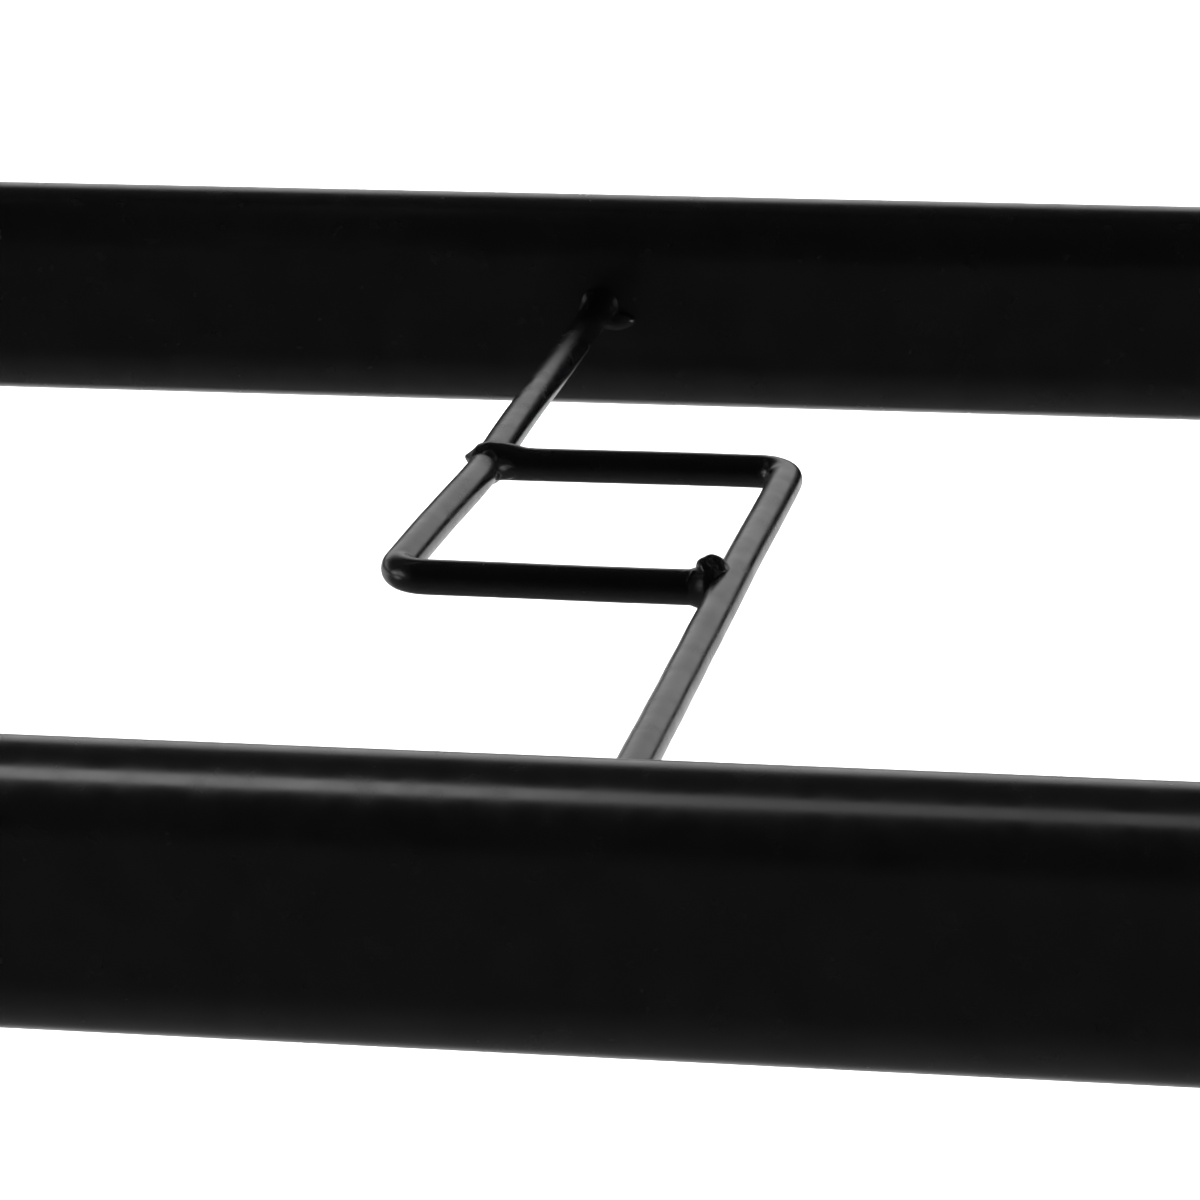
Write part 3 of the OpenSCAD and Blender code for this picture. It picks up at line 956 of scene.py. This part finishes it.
def make_straps():
    """Four straps and their stitching, each running from rail to rail, on no body."""
    route = strap_route()
    section = strap_section()
    webbing, sewing = finish_of["webbing"], thread()
    top_y, top_z = strap_half()[-1]

    def span_z(y):
        return top_z - STRAP_SAG * (1 - (y / top_y) ** 2)

    tail_end = top_y - TAIL_START - STRAP_TAIL
    for number in (1, 2, 3, 4):
        node = f"strap_{number}"
        x = middle_x(node)
        rings, run, weave = [], 0.0, []
        for i, point in enumerate(route):
            if i:
                run += (point - route[i - 1]).length
            along = (route[min(i + 1, len(route) - 1)] - route[max(i - 1, 0)]).normalized()
            out = Vector((-along.y, along.x))
            rings.append([Vector((x + across, point.x + height * out.x, point.y + height * out.y))
                          for across, height in section])
            weave += [(across + STRAP_W, run, 0.0) for across, _ in section]
        strap = add_piece(node + "_webbing", loft(rings), webbing, None, (node,), sharp=CLOTH_SHARP)
        attribute = strap.data.attributes.new("weave", "FLOAT_VECTOR", "POINT")
        attribute.data.foreach_set("vector", [value for triple in weave for value in triple])
        up = Vector((0, 0, 1))
        sewn = []
        for sign in (-1, 1):
            span = sorted((sign * (tail_end + BOX_NEAR), sign * (tail_end + BOX_FAR)))
            sewn += box_stitch(x, *span, lambda y: span_z(y) + STRAP_T * 0.47, up)
            sewn += box_stitch(x, *span, lambda y: span_z(y) - 1.47 * STRAP_T - 0.1 * MM, -up)
        stitching = add_piece(node + "_stitching", join(sewn), sewing, None,
                              sharp=CLOTH_SHARP)
        for piece in (strap, stitching):
            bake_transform(piece)


make_tubes()
make_frame_welds()
make_wire_panel()
make_caps()
make_feet()
make_hardware()
make_straps()


# --- Stage and light ---
FLOOR_HALF = 6.0
FLOOR_DROP = 0.0005


def make_stage():
    """A plain pale floor that the gloss of the paint doesn't mirror."""
    mesh = bpy.data.meshes.new("floor")
    s = FLOOR_HALF
    mesh.from_pydata([(-s, -s, 0), (s, -s, 0), (s, s, 0), (-s, s, 0)], [], [(0, 1, 2, 3)])
    floor = bpy.data.objects.new("floor", mesh)
    material, _, shader = new_material("floor_paper", 0.9)
    shader.inputs["Base Color"].default_value = (0.9, 0.9, 0.9, 1)
    shader.inputs["Specular IOR Level"].default_value = 0.0
    mesh.materials.append(material)
    floor.location.z = -FLOOR_DROP
    floor.visible_glossy = False
    bpy.context.scene.collection.objects.link(floor)
    return floor


def area_light(name, at, target, size, power):
    data = bpy.data.lights.new(name, "AREA")
    data.shape = "RECTANGLE"
    data.size, data.size_y = size
    data.energy = power
    light = bpy.data.objects.new(name, data)
    light.location = at
    light.rotation_mode = "QUATERNION"
    light.rotation_quaternion = (Vector(target) - Vector(at)).to_track_quat("-Z", "Y")
    bpy.context.scene.collection.objects.link(light)
    return light


def light_only(light, obj):
    """Keeps a light to one object."""
    group = bpy.data.collections.new(light.name + "_receivers")
    group.objects.link(obj)
    light.light_linking.receiver_collection = group


# The room's brightness by direction round the rails, in degrees from down the panel towards off the panel
ROOM = [(-180, 0.015), (-120, 0.13), (-60, 0.21), (-35, 1.0), (22, 1.0), (35, 0.05), (90, 0.05),
        (180, 0.015)]


def make_room():
    """A pale background for the camera, and a room that is bright beyond the panel for the reflections."""
    world = bpy.data.worlds.new("world")
    bpy.context.scene.world = world
    world.use_nodes = True
    tree = world.node_tree
    direction = tree.nodes.new("ShaderNodeTexCoord").outputs["Generated"]
    parts = []
    for axis in (OFF_PANEL, DOWN_PANEL):
        dot = tree.nodes.new("ShaderNodeVectorMath")
        dot.operation = "DOT_PRODUCT"
        dot.inputs[1].default_value = axis
        tree.links.new(direction, dot.inputs[0])
        parts.append(dot.outputs["Value"])
    angle = maths(tree, "ARCTAN2", *parts)
    share = maths(tree, "ADD", maths(tree, "MULTIPLY", angle, 1 / math.tau), 0.5)
    room = ramp(tree, share, [((degrees + 180) / 360, (value, value, value)) for degrees, value in ROOM])
    seen = tree.nodes.new("ShaderNodeLightPath").outputs["Is Camera Ray"]
    mix = tree.nodes.new("ShaderNodeMix")
    mix.data_type = "RGBA"
    tree.links.new(seen, mix.inputs["Factor"])
    tree.links.new(room, mix.inputs["A"])
    mix.inputs["B"].default_value = (1, 1, 1, 1)
    tree.links.new(mix.outputs["Result"], tree.nodes["Background"].inputs["Color"])


# Two strips over the front rail: name, middle along the rail, how far off by STRIP_OFF, length and watts
STRIPS = (("wide", -0.25, 1.05, 1.2, 0.86), ("left", -0.475, 1.0, 0.8, 1.22))
STRIP_OFF = Vector((0, 0.3, 0.4))
STRIP_DEPTH = 0.17
SKY_STRENGTH = 10.0
SKY_ANGLE = math.radians(80)


def make_lights(floor):
    """A soft sky for the floor alone, strips for the front rail's highlight, and a soft lamp on each side."""
    data = bpy.data.lights.new("floor_light", "SUN")
    data.energy = SKY_STRENGTH
    data.angle = SKY_ANGLE
    sky = bpy.data.objects.new("floor_light", data)
    bpy.context.scene.collection.objects.link(sky)
    light_only(sky, floor)
    for name, x, away, length, power in STRIPS:
        rail = on_panel(x, 0, 0)
        at, size = rail + STRIP_OFF * away, (length, STRIP_DEPTH)
        strip = area_light(f"rail_highlight_{name}", at, rail, size, power)
        light_only(strip, bpy.data.objects["front_top_rail_fine"])
    for name, sign in SIDES.items():
        area_light(f"{name}_side_light", (sign * 1.6, -0.4, 0.9), (0, 0, 0.3), (0.9, 0.9), 8)


make_room()
make_lights(make_stage())
bpy.context.scene.view_settings.view_transform = "Standard"
